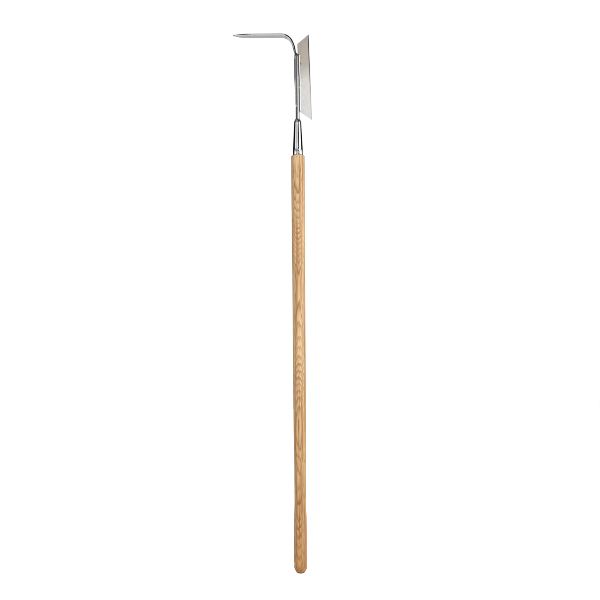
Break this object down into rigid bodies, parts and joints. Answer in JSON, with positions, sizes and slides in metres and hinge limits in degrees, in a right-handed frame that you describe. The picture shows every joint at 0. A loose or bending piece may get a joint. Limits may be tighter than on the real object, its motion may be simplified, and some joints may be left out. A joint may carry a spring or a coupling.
{
  "type": "stand up weeder",
  "caption": "Long-handled hand weeder with a turned wooden shaft, a steel socket, a pointed flat prong bent to one side and a straight slicing blade on the other.",
  "frame": {"origin": "centre of the flat end of the handle's butt", "axes": "+Z along the handle towards the head, -X towards the prong's point, +X towards the blade's cutting edge, -Y the side on which the blade's ground bevel and the tang are seen"},
  "size_m": [0.175, 0.0302, 1.2],
  "materials": {
    "ash_wood": "oiled ash with open grain",
    "polished_steel": "mirror-polished stainless steel",
    "rivet_steel": "polished rivet head",
    "tang_steel": "polished stainless bar",
    "prong_steel": "polished stainless bar, ground along its edges",
    "blade_steel": "satin stainless plate with a ground bevel",
    "weld_steel": "dressed weld bead"
  },
  "bodies": {
    "root": {"handle": "ash_wood", "socket": "polished_steel", "socket_rivet": "rivet_steel", "tang": "tang_steel", "neck_weld": "weld_steel", "prong": "prong_steel", "prong_weld": "weld_steel", "blade": "blade_steel", "blade_weld": "weld_steel"}
  },
  "joints": []
}
